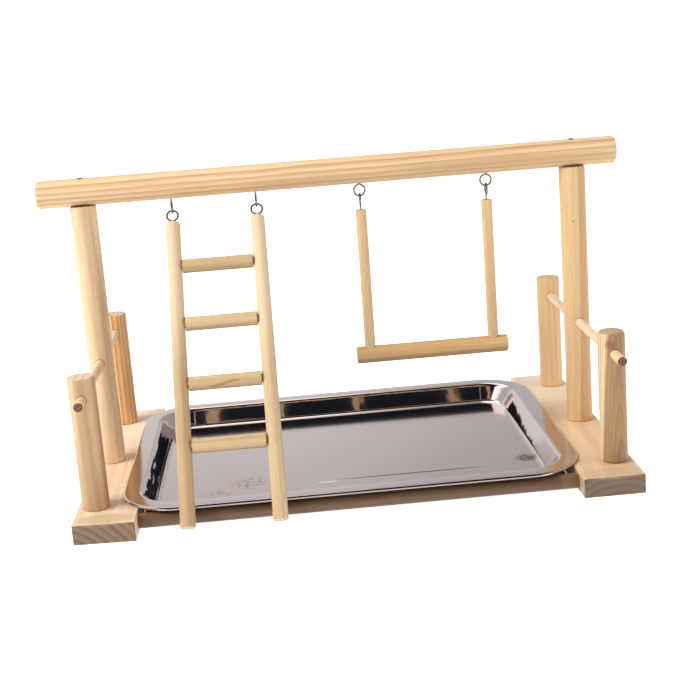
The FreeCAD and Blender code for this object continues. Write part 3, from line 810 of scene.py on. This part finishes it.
# %% Steel relief
# In metres: the heights and places between which each band of the tray fades in or out.
above_floor = steel.step(height, floor_top + 0.0004, floor_top + 0.004)
walls = above_floor * (1 - steel.step(height, rim_top - 0.003, rim_top - 0.001))
left_wall = 1 - steel.step(rightwards, -0.166, -0.150)
rubbed = steel.step(rightwards, 0.145, 0.155) * (1 - steel.step(backwards, -0.065, -0.020))
sway = steel.noise(steel.stretch(place, (55.0, 55.0, 55.0)), detail=1.0)
press_lines = steel.noise(steel.stretch(place, (110.0, 30.0, 150.0)), detail=1.0)
relief = steel.node("ShaderNodeBump", None, {
    "Strength": 0.4, "Distance": 0.001, "Height": (sway * 0.5 + press_lines * left_wall * 1.3) * walls})
steel.surface({
    "Metallic": 1.0, "Base Color": colour, "Normal": relief,
    "Roughness": (grit - 0.5) * 0.06 + 0.12 - walls * 0.05 + walls * rubbed * 0.25})
dress("tray_pan", tray_mesh, steel.owner, "tray", "tray_steel", "tray")
print("steel finish put on", len(tray_mesh.polygons), "faces")

# %% [markdown]
# ## Wire eyes
# A screw eye is one wire: a straight screw that bends into an almost closed ring. A curve with a
# bevel would do, but a tube of numpy rings rides like the other pieces and keeps to one way of
# working. The places come from the frame: a box round a pair of eyes gives where its rings are.
# Each toy hangs from two pairs of linked eyes, so there are four in the perch and four below.

# %% Wire eyes
# In metres. The stem starts above the ring by stem_gap, and corner_inset pulls the bend aside.
wire_radius, ring_radius, screw_length = 0.0009, 0.0051, 0.006
stem_gap, corner_inset = 0.0016, 0.0004
ring_reach = ring_radius + wire_radius
# The angle from the ring's top to either of its ends, in degrees.
ring_turn = 28.0
tube_sides, ring_steps, stem_steps, bend_steps = 14, 64, 8, 10


def wire_tube(name, path):
    """A tube round a path, whose rings lie square to it: point = p + r * (cos a * n + sin a * b)."""
    tangent = np.gradient(path, axis=0)
    tangent /= np.linalg.norm(tangent, axis=1)[:, None]
    spread = np.linalg.svd(path - path.mean(axis=0))[2][2]
    normal = np.broadcast_to(spread, tangent.shape)
    other = np.cross(tangent, normal)
    other /= np.linalg.norm(other, axis=1)[:, None]
    angle = np.linspace(0, 2 * math.pi, tube_sides, endpoint=False)[None, :, None]
    rings = np.cos(angle) * normal[:, None] + np.sin(angle) * other[:, None]
    return closed_skin(name, path[:, None] + wire_radius * rings)


def eye_path(neck):
    """An eye in the XZ plane: the free end beside the screw, round the ring, and up the screw. The
    bend between them is (1 - t)^2 * ring's end + 2 t (1 - t) * corner + t^2 * stem's start."""
    angle = np.radians(np.linspace(90.0 - 360.0 + ring_turn, 90.0 - ring_turn, ring_steps))
    ring = ring_radius * np.stack([np.cos(angle), 0 * angle, np.sin(angle)], axis=1)
    top = ring_reach + neck + screw_length
    stem = np.array([(0.0, 0.0, z) for z in np.linspace(ring_radius + stem_gap, top, stem_steps)])
    ease = np.linspace(0, 1, bend_steps)[1:-1, None]
    corner = np.array([corner_inset, 0.0, ring_radius + 0.0001])
    bend = (1 - ease) ** 2 * ring[-1] + 2 * ease * (1 - ease) * corner + ease ** 2 * stem[0]
    free_end = bend[-4::-1] * (-1, 1, 1)
    return np.concatenate([free_end, ring, bend, stem])


wire = finish_called("bright_wire")
place = wire.node("ShaderNodeTexCoord", output="Object")
dull = wire.noise(wire.stretch(place, (500.0, 500.0, 500.0)), detail=3.0)
wire_colour = wire.mix(wire.step(dull, 0.4, 0.7), (0.30, 0.275, 0.225, 1), (0.15, 0.13, 0.10, 1))
wire.surface({"Metallic": 1.0, "Base Color": wire_colour, "Roughness": dull * 0.2 + 0.20})
print("one eye is a path of", len(eye_path(0.0)), "points")

# %% Eyes in their places
unturned = Matrix.Identity(3)
quarter_turn = Matrix.Rotation(math.pi / 2, 3, "Z")
upside_down = Matrix.Rotation(math.pi, 3, "Y")
leaning = Matrix.Rotation(-math.acos(lean.z), 3, "X")
perch_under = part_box("top_perch")[0].z
pivot = Vector(joints["ladder_hinge"]["pos_m"])
rail_top = middle_of("ladder_rail_left") + lean * (rail_length / 2)


def hooks_of(toy, turn, thin_pair):
    """Makes the two eyes of the perch that carry a toy, and gives their sides and x. thin_pair is
    the toy's pair of eyes whose rings stand square to x. The box round that pair reaches one
    wire's radius beyond the middle of each ring, which gives the x of both pairs."""
    low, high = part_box(f"{toy}_hooks")
    thin_low, thin_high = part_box(thin_pair)
    centre_z = low.z + ring_reach
    for side, x in (("left", thin_low.x + wire_radius), ("right", thin_high.x - wire_radius)):
        path = eye_path(perch_under - centre_z - ring_reach) @ np.array(turn).T
        mesh = wire_tube(f"{toy}_hook_{side}", path + (x, pivot.y, centre_z))
        dress(f"{toy}_hook_{side}", mesh, wire.owner, "stand", "wire_steel", f"{toy}_hooks")
        yield side, x


for side, x in hooks_of("ladder", quarter_turn, "ladder_hooks"):
    centre = pivot - lean * ring_radius
    neck = (pivot - rail_top).yz.length - ring_radius - ring_reach
    path = eye_path(neck) @ np.array(leaning @ upside_down).T
    mesh = wire_tube(f"ladder_eye_{side}", path + (x, centre.y, centre.z))
    dress(f"ladder_eye_{side}", mesh, wire.owner, "ladder", "wire_steel", "ladder_eyes")

for side, x in hooks_of("swing", unturned, "swing_eyes"):
    centre_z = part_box("swing_eyes")[1].z - ring_reach
    neck = centre_z - ring_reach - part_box("swing_rod_left")[1].z
    path = eye_path(neck) @ np.array(quarter_turn @ upside_down).T
    mesh = wire_tube(f"swing_eye_{side}", path + (x, pivot.y, centre_z))
    dress(f"swing_eye_{side}", mesh, wire.owner, "swing", "wire_steel", "swing_eyes")

# %% [markdown]
# ## Screws
# Two screws hold the top perch and six hold the posts from below. Only the two heads in the perch
# show, so the frame's own screws are good enough, and take a dull zinc finish.

# %% Screws
zinc = finish_called("zinc_screw")
place = zinc.node("ShaderNodeTexCoord", output="Object")
patina = zinc.noise(zinc.stretch(place, (700.0, 700.0, 700.0)), detail=3.0)
zinc_colour = zinc.mix(patina, (0.26, 0.26, 0.25, 1), (0.12, 0.115, 0.11, 1))
zinc.surface({"Metallic": 1.0, "Base Color": zinc_colour, "Roughness": patina * 0.3 + 0.25})
screw_nodes = ("top_perch_screws", "base_screws_left", "base_screws_right")
for node in screw_nodes:
    paint(node, zinc.owner)
print("screws painted:", len(screw_nodes), "nodes")

# %% [markdown]
# ## The picture's settings
# Standard view keeps a written colour as it is.

# %% Finish
bpy.context.scene.view_settings.view_transform = "Standard"
